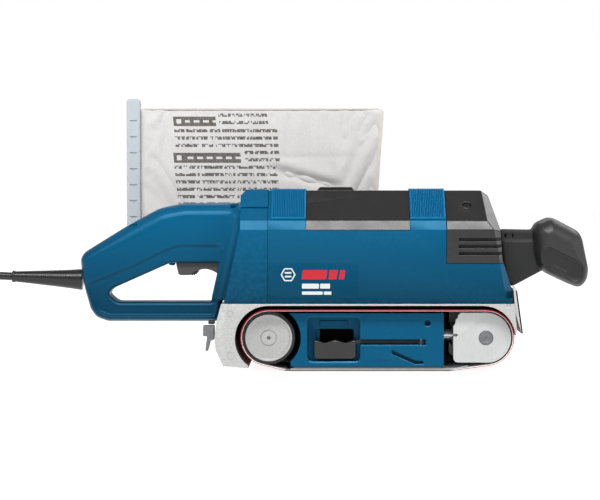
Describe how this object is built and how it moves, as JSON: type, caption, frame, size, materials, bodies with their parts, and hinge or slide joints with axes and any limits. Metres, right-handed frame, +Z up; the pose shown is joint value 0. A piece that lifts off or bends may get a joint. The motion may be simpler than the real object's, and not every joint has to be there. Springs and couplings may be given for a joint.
{
  "type": "handheld belt sander",
  "caption": "Corded handheld belt sander: blue casing, cast frame, red belt on two rollers, D-handle, front knob, side dust bag.",
  "frame": {"origin": "middle of the flat sanding face, on the belt's underside", "axes": "+X forwards to the front knob, -Y out of the open side the belt comes off, +Y to the drive side, +Z up away from the work"},
  "size_m": [0.7289, 0.166, 0.243],
  "materials": {
    "blue_plastic": "satin",
    "black_plastic": "satin",
    "grey_plastic": "satin",
    "cast_aluminium": "satin",
    "steel": "satin",
    "copper": "satin",
    "rubber": "matte",
    "cord_rubber": "satin",
    "abrasive": "matte",
    "cork": "matte",
    "cloth": "matte",
    "rail_plastic": "satin"
  },
  "bodies": {
    "root": {"motor_housing": "blue_plastic", "rear_grip_pad": "blue_plastic", "front_grip_pad": "blue_plastic", "handle_shell_right": "blue_plastic", "handle_shell_left": "blue_plastic", "base_frame": "blue_plastic", "top_cover": "black_plastic", "front_cap": "black_plastic", "front_handle": "black_plastic", "drive_cover": "black_plastic", "dust_duct": "black_plastic", "switch_body": "black_plastic", "plug": "black_plastic", "gear_housing": "cast_aluminium", "gearbox_bracket": "cast_aluminium", "sole_plate": "steel", "front_guard": "steel", "rear_bracket": "steel", "front_handle_screw": "steel", "field_core": "steel", "motor_bearing_rear": "steel", "motor_bearing_front": "steel", "cross_bearing_near": "steel", "cross_bearing_far": "steel", "drum_bearing": "steel", "lever_pin": "steel", "brush_holder_right": "copper", "brush_holder_left": "copper", "timing_belt": "rubber", "strain_relief": "rubber", "power_cord": "cord_rubber", "cord_coil": "cord_rubber", "sole_pad": "cork"},
    "armature": {"armature_shaft": "steel", "armature_core": "steel", "commutator": "copper", "cooling_fan": "black_plastic", "bevel_pinion": "steel"},
    "cross_shaft": {"cross_shaft": "steel", "bevel_gear": "steel", "upper_pulley": "steel"},
    "drive_drum": {"drive_drum": "cast_aluminium", "drum_sleeve": "rubber", "drum_shaft": "steel", "lower_pulley": "steel"},
    "idler_roller": {"idler_roller": "cast_aluminium"},
    "tension_carriage": {"tension_plunger": "steel", "tension_spring": "steel", "guide_rod": "steel"},
    "idler_fork": {"idler_fork": "cast_aluminium", "idler_axle": "steel"},
    "tension_lever": {"tension_lever": "black_plastic"},
    "tracking_knob": {"tracking_knob": "black_plastic"},
    "sanding_belt": {"sanding_belt": "abrasive"},
    "trigger": {"trigger": "grey_plastic"},
    "speed_dial": {"speed_dial": "black_plastic"},
    "lock_button": {"lock_button": "grey_plastic"},
    "dust_bag": {"dust_bag": "cloth", "bag_neck": "black_plastic"},
    "bag_rail": {"bag_rail": "rail_plastic"}
  },
  "joints": [
    {"name": "drum_spin", "type": "hinge", "parent": "root", "child": "drive_drum", "pos_m": [-0.0866, 0, 0.029], "axis": [0, 1, 0], "continuous": true},
    {"name": "cross_shaft_spin", "type": "hinge", "parent": "root", "child": "cross_shaft", "pos_m": [-0.0866, 0, 0.105], "axis": [0, 1, 0], "continuous": true},
    {"name": "armature_spin", "type": "hinge", "parent": "root", "child": "armature", "pos_m": [0, 0, 0.105], "axis": [1, 0, 0], "continuous": true},
    {"name": "lever_swing", "type": "hinge", "parent": "root", "child": "tension_lever", "pos_m": [0.0468, -0.0335, 0.0236], "axis": [0, 0, 1], "range_deg": [0, 85.2]},
    {"name": "tension_slide", "type": "slide", "parent": "root", "child": "tension_carriage", "axis": [-1, 0, 0], "range_m": [0, 0.005]},
    {"name": "tracking_turn", "type": "hinge", "parent": "root", "child": "tracking_knob", "pos_m": [0.077, 0.05, 0.029], "axis": [0, 1, 0], "range_deg": [-180.5, 180.5]},
    {"name": "fork_yaw", "type": "hinge", "parent": "tension_carriage", "child": "idler_fork", "pos_m": [0.0749, 0, 0.029], "axis": [0, 0, 1], "range_deg": [-0.7, 0.7]},
    {"name": "idler_spin", "type": "hinge", "parent": "idler_fork", "child": "idler_roller", "pos_m": [0.1034, 0, 0.029], "axis": [0, 1, 0], "continuous": true},
    {"name": "belt_removal", "type": "slide", "parent": "root", "child": "sanding_belt", "axis": [0, -1, 0], "range_m": [0, 0.085]},
    {"name": "trigger_press", "type": "slide", "parent": "root", "child": "trigger", "axis": [0, 0, 1], "range_m": [0, 0.006], "stiffness_N_per_m": 600, "springref_m": -0.004},
    {"name": "speed_turn", "type": "hinge", "parent": "trigger", "child": "speed_dial", "pos_m": [-0.1555, 0, 0.0886], "axis": [0, 1, 0], "range_deg": [-140, 140]},
    {"name": "lock_press", "type": "slide", "parent": "root", "child": "lock_button", "axis": [0, -1, 0], "range_m": [0, 0.002], "stiffness_N_per_m": 400, "springref_m": -0.002},
    {"name": "bag_pull_off", "type": "slide", "parent": "root", "child": "dust_bag", "axis": [0, 1, 0], "range_m": [0, 0.04]},
    {"name": "rail_slide_off", "type": "slide", "parent": "dust_bag", "child": "bag_rail", "axis": [0, 0, 1], "range_m": [0, 0.145]}
  ],
  "couplings": [
    {"joint": "cross_shaft_spin", "follows": "drum_spin", "ratio": 2.6667},
    {"joint": "armature_spin", "follows": "drum_spin", "ratio": -8},
    {"joint": "idler_spin", "follows": "drum_spin", "ratio": 1.0132},
    {"joint": "lever_swing", "follows": "tension_slide", "rad_per_m": 296.7},
    {"joint": "tracking_turn", "follows": "fork_yaw", "ratio": 257}
  ]
}
